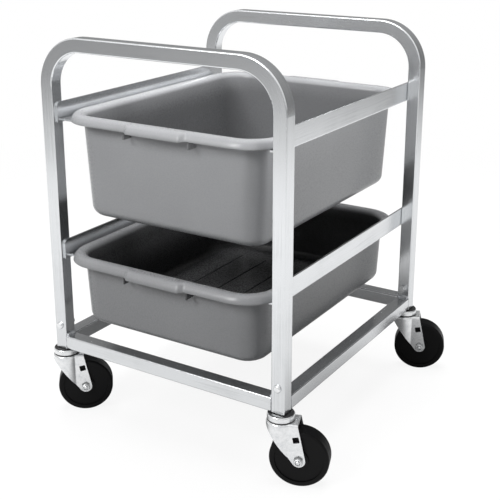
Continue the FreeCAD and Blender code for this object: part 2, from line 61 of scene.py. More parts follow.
def feed(tree, node, inputs):
    # each input gets another node's output or a plain value
    for socket, value in inputs.items():
        if isinstance(value, bpy.types.NodeSocket):
            tree.links.new(value, node.inputs[socket])
        else:
            node.inputs[socket].default_value = value


def addNode(tree, kind, inputs=None, **settings):
    # one node with its settings and inputs
    node = tree.nodes.new(kind)
    for name, value in settings.items():
        setattr(node, name, value)
    feed(tree, node, inputs or {})
    return node


def newMaterial(name):
    material = bpy.data.materials.new(name)
    material.use_nodes = True
    tree = material.node_tree
    return material, tree, tree.nodes["Principled BSDF"]


def dress(piece, material):
    piece.data.materials.clear()
    piece.data.materials.append(material)


# Materials: patterns are sized in millimetres, and all other lengths are in metres

tubeFinish = {
    "dark": "d9dbdd", "darkAt": 0.7, "light": "e8eaec", "lightAt": 1.0,
    "line": 2.4, "stretch": 0.012, "cloud": 120.0, "detail": 4.0, "lineRough": 0.65, "cloudRough": 0.6,
    "roughLow": 0.18, "roughHigh": 0.25, "glossFrom": 0.7, "glossTo": 1.3,
    "bump": 0.014, "bumpTall": 0.0005, "metal": 0.92, "bendX": 0.15875, "bendZ": 0.6253,
    "lowShadeFrom": 0.15, "lowShadeTo": 0.45, "lowShadeShare": 0.80,
}


def drawnAluminium(name, along):
    # mill-finish drawn tube: die lines run along its length, so the gloss is streaked lengthways
    # the real die lines are well under 1 mm apart and are drawn coarser so that they show
    # the dull oxide skin scatters some light, so it isn't fully metallic
    # low on the frame its colour is darkened with painted shade, for the shadowed floor that it mirrors
    f = tubeFinish
    material, tree, shader = newMaterial(name)
    place = addNode(tree, "ShaderNodeTexCoord").outputs["Object"]
    axis = addNode(tree, "ShaderNodeSeparateXYZ", {"Vector": place}).outputs
    if along == "hoop":
        # the distance from the bend's centre keeps the lines running round the bends
        side = addNode(tree, "ShaderNodeMath", {0: axis["X"]}, operation="ABSOLUTE").outputs[0]
        outX = addNode(tree, "ShaderNodeMath", {0: side, 1: f["bendX"]}, operation="SUBTRACT").outputs[0]
        outX = addNode(tree, "ShaderNodeMath", {0: outX, 1: 0.0}, operation="MAXIMUM").outputs[0]
        outZ = addNode(tree, "ShaderNodeMath", {0: axis["Z"], 1: f["bendZ"]},
                       operation="SUBTRACT").outputs[0]
        outZ = addNode(tree, "ShaderNodeMath", {0: outZ, 1: 0.0}, operation="MAXIMUM").outputs[0]
        outward = addNode(tree, "ShaderNodeCombineXYZ", {"X": outX, "Y": outZ}).outputs[0]
        across = addNode(tree, "ShaderNodeVectorMath", {0: outward}, operation="LENGTH").outputs["Value"]
        other = axis["Y"]
        length = addNode(tree, "ShaderNodeMath", {0: axis["X"], 1: axis["Z"]}, operation="ADD").outputs[0]
    elif along == "x":
        across, other, length = axis["Y"], axis["Z"], axis["X"]
    else:
        across, other, length = axis["X"], axis["Z"], axis["Y"]
    slow = addNode(tree, "ShaderNodeMath", {0: length, 1: f["stretch"]}, operation="MULTIPLY").outputs[0]
    lineSpace = addNode(tree, "ShaderNodeCombineXYZ", {"X": across, "Y": other, "Z": slow}).outputs[0]
    lines = addNode(tree, "ShaderNodeTexNoise", {
        "Vector": lineSpace, "Scale": perMetre(f["line"]), "Detail": f["detail"],
        "Roughness": f["lineRough"]}).outputs[0]
    cloud = addNode(tree, "ShaderNodeTexNoise", {
        "Vector": place, "Scale": perMetre(f["cloud"]), "Detail": f["detail"],
        "Roughness": f["cloudRough"]}).outputs[0]
    both = addNode(tree, "ShaderNodeMath", {0: lines, 1: cloud}, operation="ADD").outputs[0]
    tone = addNode(tree, "ShaderNodeValToRGB", {"Fac": both})
    for element, end in zip(tone.color_ramp.elements, ("dark", "light")):
        element.position = f[end + "At"]
        element.color = linearColour(f[end])
    gloss = addNode(tree, "ShaderNodeMapRange", {
        "Value": both, "From Min": f["glossFrom"], "From Max": f["glossTo"],
        "To Min": f["roughHigh"], "To Max": f["roughLow"]}).outputs[0]
    bump = addNode(tree, "ShaderNodeBump", {
        "Height": lines, "Strength": f["bump"], "Distance": f["bumpTall"]}).outputs[0]
    # painted shade: the colour is darker towards the bottom
    lowShade = addNode(tree, "ShaderNodeMapRange", {
        "Value": axis["Z"], "From Min": f["lowShadeFrom"], "From Max": f["lowShadeTo"],
        "To Min": f["lowShadeShare"], "To Max": 1.0}).outputs[0]
    colour = addNode(tree, "ShaderNodeVectorMath", {0: tone.outputs[0], 3: lowShade},
                     operation="SCALE").outputs[0]
    feed(tree, shader, {"Base Color": colour, "Roughness": gloss, "Normal": bump, "Metallic": f["metal"]})
    return material


weldFinish = {
    "dark": "9b9da0", "darkAt": 0.35, "light": "d3d5d8", "lightAt": 0.62,
    "ripple": 1.6, "rippleDetail": 2.0, "soot": 5.0, "sootDetail": 3.0,
    "rough": 0.34, "bump": 0.35, "bumpTall": 0.0006, "metal": 1.0,
}


def weldMetal(name):
    # bare weld metal: frosted ripples, greyer than the tube and dulled in patches by soot
    f = weldFinish
    material, tree, shader = newMaterial(name)
    place = addNode(tree, "ShaderNodeTexCoord").outputs["Object"]
    soot = addNode(tree, "ShaderNodeTexNoise", {
        "Vector": place, "Scale": perMetre(f["soot"]), "Detail": f["sootDetail"]}).outputs[0]
    ripple = addNode(tree, "ShaderNodeTexNoise", {
        "Vector": place, "Scale": perMetre(f["ripple"]), "Detail": f["rippleDetail"]}).outputs[0]
    tone = addNode(tree, "ShaderNodeValToRGB", {"Fac": soot})
    for element, end in zip(tone.color_ramp.elements, ("dark", "light")):
        element.position = f[end + "At"]
        element.color = linearColour(f[end])
    bump = addNode(tree, "ShaderNodeBump", {
        "Height": ripple, "Strength": f["bump"], "Distance": f["bumpTall"]}).outputs[0]
    feed(tree, shader, {"Base Color": tone.outputs[0], "Roughness": f["rough"], "Normal": bump,
                        "Metallic": f["metal"]})
    return material


zincFinish = {
    "dark": "dcdee0", "darkAt": 0.32, "light": "ecedee", "lightAt": 0.60,
    "grain": 2.2, "grainDetail": 2.0, "cloud": 9.0, "cloudDetail": 5.0, "cloudRough": 0.6,
    "roughLow": 0.16, "roughHigh": 0.26, "glossFrom": 0.3, "glossTo": 0.7,
    "bump": 0.03, "bumpTall": 0.0004, "metal": 0.75,
    "cupLip": 0.1168, "cupTop": 0.1285, "lineTall": 0.0016, "lineFade": 0.0005, "lineDark": 0.10,
}


def brightZinc(name, paintedShade=None):
    # bright zinc plate over pressed steel: a pale mirror softened by cloudy patches and a fine orange peel
    # on a race cup, painted shade darkens thin lines along the lip and round the top, where the seams are
    # on an axle's nut and bolt, painted shade lies where the piece's own attribute says so
    f = zincFinish
    material, tree, shader = newMaterial(name)
    place = addNode(tree, "ShaderNodeTexCoord").outputs["Object"]
    cloud = addNode(tree, "ShaderNodeTexNoise", {
        "Vector": place, "Scale": perMetre(f["cloud"]), "Detail": f["cloudDetail"],
        "Roughness": f["cloudRough"]}).outputs[0]
    grain = addNode(tree, "ShaderNodeTexNoise", {
        "Vector": place, "Scale": perMetre(f["grain"]), "Detail": f["grainDetail"]}).outputs[0]
    tone = addNode(tree, "ShaderNodeValToRGB", {"Fac": cloud})
    for element, end in zip(tone.color_ramp.elements, ("dark", "light")):
        element.position = f[end + "At"]
        element.color = linearColour(f[end])
    gloss = addNode(tree, "ShaderNodeMapRange", {
        "Value": cloud, "From Min": f["glossFrom"], "From Max": f["glossTo"],
        "To Min": f["roughHigh"], "To Max": f["roughLow"]}).outputs[0]
    bump = addNode(tree, "ShaderNodeBump", {
        "Height": grain, "Strength": f["bump"], "Distance": f["bumpTall"]}).outputs[0]
    colour = tone.outputs[0]
    # painted shade: dark lines at the cup's seams
    if paintedShade == "cup":
        height = addNode(tree, "ShaderNodeSeparateXYZ", {"Vector": place}).outputs["Z"]
        unshaded = f["cupLip"] + f["lineTall"], f["cupTop"] - f["lineTall"] / 2
        above = addNode(tree, "ShaderNodeMapRange", {
            "Value": height, "From Min": unshaded[0], "From Max": unshaded[0] + f["lineFade"],
            "To Min": f["lineDark"], "To Max": 1.0}).outputs[0]
        below = addNode(tree, "ShaderNodeMapRange", {
            "Value": height, "From Min": unshaded[1], "From Max": unshaded[1] - f["lineFade"],
            "To Min": f["lineDark"], "To Max": 1.0}).outputs[0]
        bright = addNode(tree, "ShaderNodeMath", {0: above, 1: below}, operation="MULTIPLY").outputs[0]
    # painted shade: dark where the attribute puts it, at the foot and in the recess
    if paintedShade == "axle":
        amount = addNode(tree, "ShaderNodeAttribute", attribute_name="paintedShade").outputs["Fac"]
        bright = addNode(tree, "ShaderNodeMapRange", {
            "Value": amount, "To Min": 1.0, "To Max": f["lineDark"]}).outputs[0]
    if paintedShade:
        colour = addNode(tree, "ShaderNodeVectorMath", {0: colour, 3: bright}, operation="SCALE").outputs[0]
    feed(tree, shader, {"Base Color": colour, "Roughness": gloss, "Normal": bump, "Metallic": f["metal"]})
    return material


bearingFinish = {
    "dark": "8d9094", "darkAt": 0.4, "light": "c4c7ca", "lightAt": 0.6,
    "smear": 6.0, "smearDetail": 3.0, "rough": 0.16, "metal": 1.0,
}


def greasedSteel(name):
    # hardened bearing steel: dark and mirror smooth, with thin smears of grease
    f = bearingFinish
    material, tree, shader = newMaterial(name)
    place = addNode(tree, "ShaderNodeTexCoord").outputs["Object"]
    smear = addNode(tree, "ShaderNodeTexNoise", {
        "Vector": place, "Scale": perMetre(f["smear"]), "Detail": f["smearDetail"]}).outputs[0]
    tone = addNode(tree, "ShaderNodeValToRGB", {"Fac": smear})
    for element, end in zip(tone.color_ramp.elements, ("dark", "light")):
        element.position = f[end + "At"]
        element.color = linearColour(f[end])
    feed(tree, shader, {"Base Color": tone.outputs[0], "Roughness": f["rough"], "Metallic": f["metal"]})
    return material


lugFinish = {
    "dark": "868789", "darkAt": 0.3, "light": "9a9b9d", "lightAt": 0.7,
    "cloud": 160.0, "cloudDetail": 4.0, "cloudRough": 0.55, "cloudShare": 0.35,
    "speck": 2.2, "speckDetail": 2.0, "speckRough": 0.6, "speckShare": 0.65,
    "grain": 1.6, "grainDetail": 3.0, "grainRough": 0.6,
    "rough": 0.28, "roughSpan": 0.05, "glossFrom": 0.3, "glossTo": 0.7,
    "bump": 0.07, "bumpTall": 0.0004, "gloss": 0.38,
    # painted shade: the inside is darker, and the lower lug is a shaded copy of the upper one, darker
    # outside as well
    "upperShadeShares": (1.0, 0.54), "lowerShadeShares": (0.84, 0.24),
}


def greyPolyethylene(name, shares):
    # injection-moulded grey polyethylene: waxy sheen, a fine mould grain and a faint speckle of pigment
    # the inside gets painted shade where the piece's own attribute says so
    # the shares are how much of the colour is left outside and inside; what falls below 1 is painted shade
    # the grain and specks are under 0.5 mm in the real moulding and are drawn coarser so that they show
    f = lugFinish
    material, tree, shader = newMaterial(name)
    place = addNode(tree, "ShaderNodeTexCoord").outputs["Object"]
    cloud, speck, grain = [addNode(tree, "ShaderNodeTexNoise", {
        "Vector": place, "Scale": perMetre(f[kind]), "Detail": f[kind + "Detail"],
        "Roughness": f[kind + "Rough"]}).outputs[0] for kind in ("cloud", "speck", "grain")]
    specks = addNode(tree, "ShaderNodeMath", {0: speck, 1: f["speckShare"]},
                     operation="MULTIPLY").outputs[0]
    clouds = addNode(tree, "ShaderNodeMath", {0: cloud, 1: f["cloudShare"]},
                     operation="MULTIPLY").outputs[0]
    both = addNode(tree, "ShaderNodeMath", {0: clouds, 1: specks}, operation="ADD").outputs[0]
    tone = addNode(tree, "ShaderNodeValToRGB", {"Fac": both})
    for element, end in zip(tone.color_ramp.elements, ("dark", "light")):
        element.position = f[end + "At"]
        element.color = linearColour(f[end])
    inside = addNode(tree, "ShaderNodeAttribute", attribute_name="inside").outputs["Fac"]
    shaded = addNode(tree, "ShaderNodeMapRange", {
        "Value": inside, "To Min": shares[0], "To Max": shares[1]}).outputs[0]
    colour = addNode(tree, "ShaderNodeVectorMath", {0: tone.outputs[0], 3: shaded},
                     operation="SCALE").outputs[0]
    gloss = addNode(tree, "ShaderNodeMapRange", {
        "Value": speck, "From Min": f["glossFrom"], "From Max": f["glossTo"],
        "To Min": f["rough"] + f["roughSpan"], "To Max": f["rough"] - f["roughSpan"]}).outputs[0]
    bump = addNode(tree, "ShaderNodeBump", {
        "Height": grain, "Strength": f["bump"], "Distance": f["bumpTall"]}).outputs[0]
    feed(tree, shader, {"Base Color": colour, "Roughness": gloss, "Normal": bump,
                        "Specular IOR Level": f["gloss"]})
    return material


wheelFinish = {
    "dark": "060607", "darkAt": 0.45, "light": "0d0d0d", "lightAt": 0.72,
    "dust": 24.0, "dustDetail": 5.0, "dustRough": 0.65, "grain": 1.8, "grainDetail": 2.0,
    "roughLow": 0.38, "roughHigh": 0.60, "glossFrom": 0.35, "glossTo": 0.7,
    "bump": 0.12, "bumpTall": 0.0003, "gloss": 0.14,
}


def blackPolyolefin(name):
    # hard black wheel: near-black moulded plastic, satin, with a thin film of floor dust in patches
    f = wheelFinish
    material, tree, shader = newMaterial(name)
    place = addNode(tree, "ShaderNodeTexCoord").outputs["Object"]
    dust = addNode(tree, "ShaderNodeTexNoise", {
        "Vector": place, "Scale": perMetre(f["dust"]), "Detail": f["dustDetail"],
        "Roughness": f["dustRough"]}).outputs[0]
    grain = addNode(tree, "ShaderNodeTexNoise", {
        "Vector": place, "Scale": perMetre(f["grain"]), "Detail": f["grainDetail"]}).outputs[0]
    tone = addNode(tree, "ShaderNodeValToRGB", {"Fac": dust})
    for element, end in zip(tone.color_ramp.elements, ("dark", "light")):
        element.position = f[end + "At"]
        element.color = linearColour(f[end])
    gloss = addNode(tree, "ShaderNodeMapRange", {
        "Value": dust, "From Min": f["glossFrom"], "From Max": f["glossTo"],
        "To Min": f["roughLow"], "To Max": f["roughHigh"]}).outputs[0]
    bump = addNode(tree, "ShaderNodeBump", {
        "Height": grain, "Strength": f["bump"], "Distance": f["bumpTall"]}).outputs[0]
    feed(tree, shader, {"Base Color": tone.outputs[0], "Roughness": gloss, "Normal": bump,
                        "Specular IOR Level": f["gloss"]})
    return material


hoopMetal = drawnAluminium("drawnAluminiumHoop", "hoop")
crossMetal = drawnAluminium("drawnAluminiumCross", "x")
lengthMetal = drawnAluminium("drawnAluminiumLength", "y")
weldMaterial = weldMetal("aluminiumWeld")
zincMaterial = brightZinc("brightZincPlate")
cupMaterial = brightZinc("zincCupPaintedShade", "cup")
axleMaterial = brightZinc("zincAxlePaintedShade", "axle")
bearingMaterial = greasedSteel("greasedBearingSteel")
lugMaterials = {
    "upper_lug": greyPolyethylene("greyPolyethyleneUpper", lugFinish["upperShadeShares"]),
    "lower_lug": greyPolyethylene("greyPolyethyleneLower", lugFinish["lowerShadeShares"]),
}
wheelMaterial = blackPolyolefin("blackPolyolefin")
print("materials ready")

# Dressing of the CAD nodes

nodeMaterials = {
    "front_hoop": hoopMetal, "rear_hoop": hoopMetal,
    "front_rail": crossMetal, "rear_rail": crossMetal, "left_rail": lengthMetal, "right_rail": lengthMetal,
    "upper_left_slide": lengthMetal, "upper_right_slide": lengthMetal,
    "lower_left_slide": lengthMetal, "lower_right_slide": lengthMetal,
    "weld_beads": weldMaterial, "stem_bolts": zincMaterial, "stem_nuts": zincMaterial,
    **lugMaterials,
}
for corner in corners:
    nodeMaterials[f"{corner}_stem"] = cupMaterial
    for part in ("fork", "axle_bolt", "axle_nut"):
        nodeMaterials[f"{corner}_{part}"] = zincMaterial
    for part in ("bearing_balls", "retainer", "axle_sleeve"):
        nodeMaterials[f"{corner}_{part}"] = bearingMaterial
    nodeMaterials[f"{corner}_wheel"] = wheelMaterial
for name, material in nodeMaterials.items():
    dress(cadNodes[name], material)
print("CAD nodes dressed:", len(nodeMaterials))

# Modelling helpers

near = 0.00002  # points this close are in the same place
merged = 0.000001  # points this close become one
endOn = 0.9  # a face whose normal has this much of an axis faces along it


def startObjectMode():
    if bpy.context.mode != "OBJECT":
        bpy.ops.object.mode_set(mode="OBJECT")
    bpy.ops.object.select_all(action="DESELECT")


def beginPiece(name):
    # the new primitive gets its name, its place goes into its mesh, and edit mode starts
    piece = bpy.context.active_object
    piece.name = name
    bpy.ops.object.transform_apply(location=True, rotation=True, scale=True)
    bpy.ops.object.mode_set(mode="EDIT")
    return piece


def pick(piece, kind, test):
    # select the faces, edges or vertices that pass the test
    bpy.ops.mesh.select_mode(type=kind)
    bpy.ops.mesh.select_all(action="DESELECT")
    mesh = bmesh.from_edit_mesh(piece.data)
    for item in {"FACE": mesh.faces, "EDGE": mesh.edges, "VERT": mesh.verts}[kind]:
        item.select = test(item)
    mesh.select_flush_mode()
    bmesh.update_edit_mesh(piece.data)


def endPiece(smoothAngle):
    # merge doubles, turn the faces outwards and shade
    bpy.ops.mesh.select_all(action="SELECT")
    bpy.ops.mesh.remove_doubles(threshold=merged)
    bpy.ops.mesh.normals_make_consistent(inside=False)
    bpy.ops.object.mode_set(mode="OBJECT")
    bpy.ops.object.shade_smooth_by_angle(angle=math.radians(smoothAngle))


def applyModifier(piece, kind, **settings):
    startObjectMode()
    piece.select_set(True)
    bpy.context.view_layer.objects.active = piece
    modifier = piece.modifiers.new(kind.lower(), kind)
    for name, value in settings.items():
        setattr(modifier, name, value)
    bpy.ops.object.modifier_apply(modifier=modifier.name)


def copyPiece(piece, name, place=(0, 0, 0), turn=0):
    # a copy with its own mesh, turned about Z, then moved, with its place in its mesh
    startObjectMode()
    copy = piece.copy()
    copy.data = piece.data.copy()
    copy.name = name
    bpy.context.scene.collection.objects.link(copy)
    copy.select_set(True)
    bpy.context.view_layer.objects.active = copy
    copy.location = place
    copy.rotation_euler = (0, 0, math.radians(turn))
    bpy.ops.object.transform_apply(location=True, rotation=True, scale=True)
    return copy


def joinPieces(pieces, name):
    startObjectMode()
    for piece in pieces:
        piece.select_set(True)
    bpy.context.view_layer.objects.active = pieces[0]
    bpy.ops.object.join()
    pieces[0].name = name
    return pieces[0]


def discard(piece):
    bpy.data.objects.remove(piece, do_unlink=True)


def finishPiece(piece, material, body, slot, *nodes):
    dress(piece, material)
    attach(piece, body)
    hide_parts(*nodes)


# Lugs: the upper skin is drawn inwards from the rim's outer edge, over the roll and down to the floor

lugShape = {
    "corner": 0.070, "cornerSteps": 14, "cornerProfile": 0.5, "endColumns": 110, "sideColumns": 30,
    "wall": 0.004, "draft": 3.0, "overhang": 0.022,
    "rimDrop": 0.0145, "rimWide": 0.0135, "rimTall": 0.019, "innerRound": 0.012,
    "floorRound": 0.020, "roundSteps": 7, "wallSteps": 6,
    "edgeRound": 0.0008, "edgeSteps": 2, "edgeAngle": 60, "smoothAngle": 40,
    "gripHalf": 0.062, "gripSlope": 0.009, "gripBulge": 0.007, "gripDrop": 0.0012,
    "gussetX": 0.066, "gussetThick": 0.003, "gussetFoot": 0.0285, "gussetTop": 0.006,
    "gussetIn": 0.003, "gussetTaper": 0.0015, "gussetRound": 0.0007, "gussetSteps": 2,
    "ridgeCount": 5, "ridgePitch": 0.058, "ridgeWidth": 0.004, "ridgeHeight": 0.0015, "ridgeEnd": 0.187,
    "ridgeRound": 0.0009, "ridgeSteps": 3,
    "insideShadeFrom": 0.003, "insideShadeFull": 0.016, "upFacing": 0.5,
}


def arcPoints(middle, radius, start, end, steps):
    # points along an arc from one angle to another, without the first
    angles = [math.radians(start + (end - start) * i / steps) for i in range(1, steps + 1)]
    return [(middle[0] + radius * math.cos(a), middle[1] + radius * math.sin(a)) for a in angles]


def crestAt(s):
    # how far in from its outer edge the roll is highest
    return s["rimWide"] * math.sqrt(1 - (1 - s["rimDrop"] / s["rimTall"]) ** 2)


def lugProfile(depth):
    # distance in from the rim's outer edge, and height below the rim's top
    s = lugShape
    lean = math.tan(math.radians(s["draft"]))
    shorter = math.tan(math.radians(45 - s["draft"] / 2))
    wallTop = s["overhang"] + s["wall"]
    floor = s["wall"] - depth
    bowl = s["floorRound"] - s["wall"]
    flatEnd = wallTop - s["innerRound"] * shorter
    bowlMiddle = (wallTop - floor * lean + bowl * shorter, floor + bowl)
    # the roll is part of an upright oval, from its lower edge to its crest
    lowest = 180 - math.degrees(math.asin(1 - s["rimDrop"] / s["rimTall"]))
    oval = arcPoints((0, 0), 1, lowest, 90, s["roundSteps"])
    points = [(0.0, -s["rimDrop"])]
    for across, up in oval:
        points.append((crestAt(s) + across * s["rimWide"], (up - 1) * s["rimTall"]))
    points += arcPoints((flatEnd, -s["innerRound"]), s["innerRound"], 90, s["draft"], s["roundSteps"])
    bowlStart = arcPoints(bowlMiddle, bowl, 180, 180 + s["draft"], 1)[0]
    wallStart = points[-1]
    for i in range(1, s["wallSteps"] + 1):
        share = i / s["wallSteps"]
        points.append(tuple(a + (b - a) * share for a, b in zip(wallStart, bowlStart)))
    return points + arcPoints(bowlMiddle, bowl, 180 + s["draft"], 270, s["roundSteps"])


def smooth(share):
    # an even start and end between 0 and 1
    share = min(max(share, 0.0), 1.0)
    return share * share * (3 - 2 * share)


def swell(x):
    # how far the hand grip has swollen at a place along the rim
    return smooth((lugShape["gripHalf"] - abs(x)) / lugShape["gripSlope"])


def paintInsideShade(piece):
    # the whole piece gets the lug's painted inside shade
    inside = piece.data.attributes.new("inside", "FLOAT", "POINT")
    for shaded in inside.data:
        shaded.value = 1.0


def modelLug(name, node, body):
    s = lugShape
    low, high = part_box(node)
    halfX = (high[0] - low[0]) / 2
    halfY = (high[1] - low[1]) / 2 - s["gripBulge"]
    middleY = (high[1] + low[1]) / 2
    rimTop = high[2]
    points = lugProfile(high[2] - low[2])
    rimFoot = rimTop + points[0][1]

    startObjectMode()
    bpy.ops.mesh.primitive_plane_add(size=1, location=(0, middleY, rimFoot))
    bpy.context.active_object.scale = (2 * halfX, 2 * halfY, 1)
    piece = beginPiece(name)
    bpy.ops.mesh.select_mode(type="VERT")
    bpy.ops.mesh.select_all(action="SELECT")
    bpy.ops.mesh.bevel(affect="VERTICES", offset=s["corner"], segments=s["cornerSteps"],
                       profile=s["cornerProfile"])
    straight = 2 * (halfX - s["corner"]), 2 * (halfY - s["corner"])
    for side in (-1, 1):
        pick(piece, "EDGE", lambda e: all(abs(v.co.y - middleY - side * halfY) < near for v in e.verts)
             and e.calc_length() > straight[0] - near)
        bpy.ops.mesh.subdivide(number_cuts=s["endColumns"])
        pick(piece, "EDGE", lambda e: all(abs(v.co.x - side * halfX) < near for v in e.verts)
             and e.calc_length() > straight[1] - near)
        bpy.ops.mesh.subdivide(number_cuts=s["sideColumns"])
    pick(piece, "FACE", lambda f: True)
    for before, after in zip(points, points[1:]):
        bpy.ops.mesh.inset(thickness=after[0] - before[0], depth=after[1] - before[1], use_even_offset=True)

    # the roll swells outwards and hangs lower over each hand grip
    columns = []
    for x in sorted(v.co.x for v in bmesh.from_edit_mesh(piece.data).verts):
        if swell(x) > 0 and (not columns or x - columns[-1] > 2 * near):
            columns.append(x)
    inRoll = halfY - crestAt(s) - near
    for side in (-1, 1):
        for x in columns:
            pick(piece, "VERT", lambda v: abs(v.co.x - x) < near and side * (v.co.y - middleY) > inRoll)
            bpy.ops.transform.translate(value=(0, side * s["gripBulge"] * swell(x), 0))
            pick(piece, "VERT", lambda v: abs(v.co.x - x) < near and side * (v.co.y - middleY) > inRoll
                 and v.co.z < rimFoot + near)
            bpy.ops.transform.translate(value=(0, 0, -s["gripDrop"] * swell(x)))
    bpy.ops.object.mode_set(mode="OBJECT")
    applyModifier(piece, "SOLIDIFY", thickness=s["wall"], offset=-1, use_even_offset=True,
                  use_quality_normals=True)
    applyModifier(piece, "BEVEL", width=s["edgeRound"], segments=s["edgeSteps"], limit_method="ANGLE",
                  angle_limit=math.radians(s["edgeAngle"]))

    # the attribute for the inside's painted shade fades in below the rim
    inside = piece.data.attributes.new("inside", "FLOAT", "POINT")
    for vertex, shaded in zip(piece.data.vertices, inside.data):
        outward = Vector((vertex.co.x, vertex.co.y - middleY, 0)).normalized()
        below = (rimTop - vertex.co.z - s["insideShadeFrom"]) / (s["insideShadeFull"] - s["insideShadeFrom"])
        within = outward.dot(vertex.normal) < 0 or vertex.normal.z > s["upFacing"]
        shaded.value = smooth(below) if within else 0.0

    # gusset plates under the rim at the ends of the grips, with painted shade on them as well
    startObjectMode()
    plateY = halfY - s["overhang"] - s["wall"] / 2, halfY - s["gussetIn"]
    plateZ = rimTop - s["gussetFoot"], rimTop - s["gussetTop"]
    bpy.ops.mesh.primitive_cube_add(size=1, location=(0, middleY + sum(plateY) / 2, sum(plateZ) / 2))
    bpy.context.active_object.scale = (s["gussetThick"], plateY[1] - plateY[0], plateZ[1] - plateZ[0])
    gusset = beginPiece(name + "Gusset")
    # the outer edge leans in at the top, to end within the roll
    outer = middleY + plateY[1] - near
    pick(gusset, "VERT", lambda v: v.co.y > outer and v.co.z > plateZ[1] - near)
    bpy.ops.transform.translate(value=(0, -s["gussetTaper"], 0))
    pick(gusset, "EDGE", lambda e: all(v.co.z < plateZ[0] + near for v in e.verts)
         or all(v.co.y > outer - s["gussetTaper"] for v in e.verts))
    bpy.ops.mesh.bevel(offset=s["gussetRound"], segments=s["gussetSteps"], affect="EDGES")
    endPiece(s["smoothAngle"])
    paintInsideShade(gusset)
    extras = []
    for x in (-s["gussetX"], s["gussetX"]):
        extras.append(copyPiece(gusset, name + "Plate", (x, 0, 0)))
        extras.append(copyPiece(gusset, name + "Plate", (x, 2 * middleY, 0), 180))
    discard(gusset)

    # low ridges along the floor, set a little into it
    startObjectMode()
    floorTop = low[2] + s["wall"]
    sunk = s["ridgeHeight"] / 2
    ridgeMiddle = floorTop + s["ridgeHeight"] / 2 - sunk / 2
    bpy.ops.mesh.primitive_cube_add(size=1, location=(0, middleY, ridgeMiddle))
    bpy.context.active_object.scale = (s["ridgeWidth"], 2 * s["ridgeEnd"], s["ridgeHeight"] + sunk)
    ridge = beginPiece(name + "Ridge")
    pick(ridge, "EDGE", lambda e: all(v.co.z > floorTop for v in e.verts))
    bpy.ops.mesh.bevel(offset=s["ridgeRound"], segments=s["ridgeSteps"], affect="EDGES")
    endPiece(s["smoothAngle"])
    # the ridges get the inside's painted shade too
    paintInsideShade(ridge)
    for i in range(s["ridgeCount"]):
        x = (i - (s["ridgeCount"] - 1) / 2) * s["ridgePitch"]
        extras.append(copyPiece(ridge, name + "Rib", (x, 0, 0)))
    discard(ridge)
    piece = joinPieces([piece] + extras, name)
    bpy.ops.object.shade_smooth_by_angle(angle=math.radians(s["smoothAngle"]))
    finishPiece(piece, lugMaterials[node], body, "lug_plastic", node)
    print(name, "modelled:", len(piece.data.polygons), "faces")


modelLug("upperLug", "upper_lug", "upper_tub")
modelLug("lowerLug", "lower_lug", "lower_tub")

# Weld beads: a row of overlapping puddles in each inside corner between a rail and a leg

weldShape = {
    "legX": 0.23495, "legY": 0.254, "tube": 0.0254, "railTop": 0.1554,
    "puddle": 0.0036, "puddleSides": 20, "puddleRings": 12, "flat": 0.62, "sink": 0.0010, "inTube": 0.0004,
    "puddles": 8, "pitch": 0.0024, "beadAngle": 50,
    "seamWide": 0.0014, "seamProud": 0.00025, "seamShort": 0.003, "seamRound": 0.0002, "seamSteps": 2,
    "seamAngle": 40,
}


def modelWelds():
    w = weldShape
    startObjectMode()
    run = (w["puddles"] - 1) * w["pitch"]
    bpy.ops.mesh.primitive_uv_sphere_add(segments=w["puddleSides"], ring_count=w["puddleRings"],
                                         radius=w["puddle"], location=(0, 0, 0))
    bpy.context.active_object.scale = (1, w["flat"], 1)
    bead = beginPiece("weldBead")
    # the puddle leans into the corner, and what would lie inside the tubes is cut off
    bpy.ops.mesh.select_all(action="SELECT")
    bpy.ops.transform.translate(value=(-w["sink"], -run / 2, w["sink"]))
    for normal in ((1, 0, 0), (0, 0, -1)):
        bpy.ops.mesh.select_all(action="SELECT")
        bpy.ops.mesh.bisect(plane_co=tuple(w["inTube"] * c for c in normal), plane_no=normal,
                            use_fill=True, clear_outer=True)
    endPiece(w["beadAngle"])
    applyModifier(bead, "ARRAY", count=w["puddles"], use_relative_offset=False, use_constant_offset=True,
                  constant_offset_displace=(0, w["pitch"], 0))
    beads = []
    for sideX in (-1, 1):
        for sideY in (-1, 1):
            along = (sideX * (w["legX"] - w["tube"] / 2), sideY * w["legY"], w["railTop"])
            across = (sideX * w["legX"], sideY * (w["legY"] - w["tube"] / 2), w["railTop"])
            beads.append(copyPiece(bead, "bead", along, 0 if sideX > 0 else 180))
            beads.append(copyPiece(bead, "bead", across, 90 * sideY))
    discard(bead)
    # on the outside the joints are ground flush, and a narrow seam still shows there
    startObjectMode()
    bpy.ops.mesh.primitive_cube_add(size=1, location=(0, 0, w["railTop"] - w["tube"] / 2))
    bpy.context.active_object.scale = (w["seamWide"], 2 * w["seamProud"], w["tube"] - w["seamShort"])
    seam = beginPiece("weldSeam")
    pick(seam, "EDGE", lambda e: all(v.co.y < 0 for v in e.verts))
    bpy.ops.mesh.bevel(offset=w["seamRound"], segments=w["seamSteps"], affect="EDGES")
    endPiece(w["seamAngle"])
    for sideX in (-1, 1):
        for sideY in (-1, 1):
            outerX = sideX * (w["legX"] + w["tube"] / 2)
            outerY = sideY * (w["legY"] + w["tube"] / 2)
            innerX = sideX * (w["legX"] - w["tube"] / 2)
            innerY = sideY * (w["legY"] - w["tube"] / 2)
            beads.append(copyPiece(seam, "seam", (innerX, outerY, 0), 0 if sideY < 0 else 180))
            beads.append(copyPiece(seam, "seam", (outerX, innerY, 0), 90 * sideX))
    discard(seam)
    piece = joinPieces(beads, "weldBeads")
    finishPiece(piece, weldMaterial, "frame", "weld_bead", "weld_beads")
    print("weld beads modelled:", len(piece.data.polygons), "faces")


modelWelds()

# Axle bolts and nuts, drawn at the wheel's centre with the axle along Y

